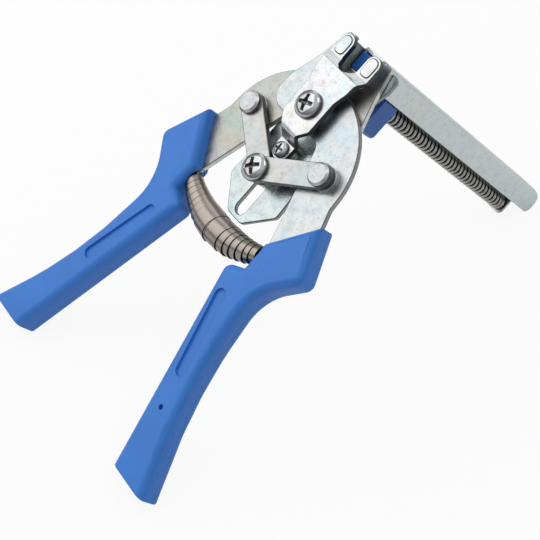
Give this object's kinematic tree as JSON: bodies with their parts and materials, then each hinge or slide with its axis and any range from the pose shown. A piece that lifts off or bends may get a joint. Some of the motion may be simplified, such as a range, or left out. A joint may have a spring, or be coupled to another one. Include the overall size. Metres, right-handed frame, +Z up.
{
  "type": "hog ringer pliers",
  "caption": "Hand pliers with crossed levers, link linkage, return spring, guide prongs and a clip channel with a sprung pusher, for closing hog rings on cages and fences.",
  "frame": {"origin": "middle of the bottom of the box, on the surface that the tool lies on", "axes": "+Z up; the tool rests on the ends of its two grips and on the far end of its clip channel, with its front face up; +X to the side of the upper lever's handle; -Y towards the grips, +Y towards the clip channel"},
  "size_m": [0.1322, 0.2472, 0.1299],
  "materials": {
    "zinc_steel": "bright zinc plate, slightly mottled",
    "bright_steel": "polished plated steel",
    "spring_steel": "nickel coloured spring steel",
    "grip_plastic": "satin moulded plastic",
    "pusher_plastic": "semi-gloss moulded plastic"
  },
  "bodies": {
    "frame": {"base_plate": "zinc_steel", "front_cover": "zinc_steel", "magazine_channel": "zinc_steel", "magazine_end_bracket": "zinc_steel", "spring_guide_rod": "zinc_steel", "pivot_screw": "bright_steel", "pivot_bush": "zinc_steel", "pivot_washer": "zinc_steel", "pivot_nut": "zinc_steel", "cover_screw": "bright_steel", "cover_spacer": "zinc_steel", "cover_nut": "zinc_steel", "pusher_spring": "spring_steel"},
    "right_lever": {"right_lever": "zinc_steel", "right_grip": "grip_plastic", "right_rivet": "bright_steel", "right_rivet_washer": "zinc_steel", "return_spring_right": "spring_steel"},
    "left_lever": {"left_lever": "zinc_steel", "left_grip": "grip_plastic", "left_rivet": "bright_steel", "left_rivet_washer": "zinc_steel", "return_spring_left": "spring_steel"},
    "right_link": {"right_link": "zinc_steel", "link_screw": "bright_steel", "slide_bush": "zinc_steel", "link_washer": "zinc_steel", "link_nut": "zinc_steel"},
    "left_link": {"left_link": "zinc_steel"},
    "pusher": {"pusher": "pusher_plastic"}
  },
  "joints": [
    {"name": "right_lever", "type": "hinge", "parent": "frame", "child": "right_lever", "pos_m": [0, 0.00267, 0.10325], "axis": [0, 0.6406, -0.7679], "range_deg": [0, 14], "stiffness_Nm_per_rad": 2, "springref_deg": -28.65, "deforming": ["return_spring_right"]},
    {"name": "left_lever", "type": "hinge", "parent": "frame", "child": "left_lever", "pos_m": [0, 0.00267, 0.10325], "axis": [0, -0.6406, 0.7679], "range_deg": [0, 14], "deforming": ["return_spring_left"]},
    {"name": "right_link", "type": "hinge", "parent": "right_lever", "child": "right_link", "pos_m": [0.0274, -0.01392, 0.09723], "axis": [0, -0.6406, 0.7679], "range_deg": [0, 28]},
    {"name": "left_link", "type": "hinge", "parent": "left_lever", "child": "left_link", "pos_m": [-0.0274, -0.012, 0.09492], "axis": [0, 0.6406, -0.7679], "range_deg": [0, 28]},
    {"name": "pusher", "type": "slide", "parent": "frame", "child": "pusher", "axis": [0, 0.6406, -0.7679], "range_m": [0, 0.06], "stiffness_N_per_m": 60, "springref_m": -0.04, "deforming": ["pusher_spring"]}
  ],
  "couplings": [
    {"joint": "left_lever", "follows": "right_lever", "ratio": 1},
    {"joint": "right_link", "follows": "right_lever", "ratio": 2},
    {"joint": "left_link", "follows": "right_lever", "ratio": 2}
  ]
}
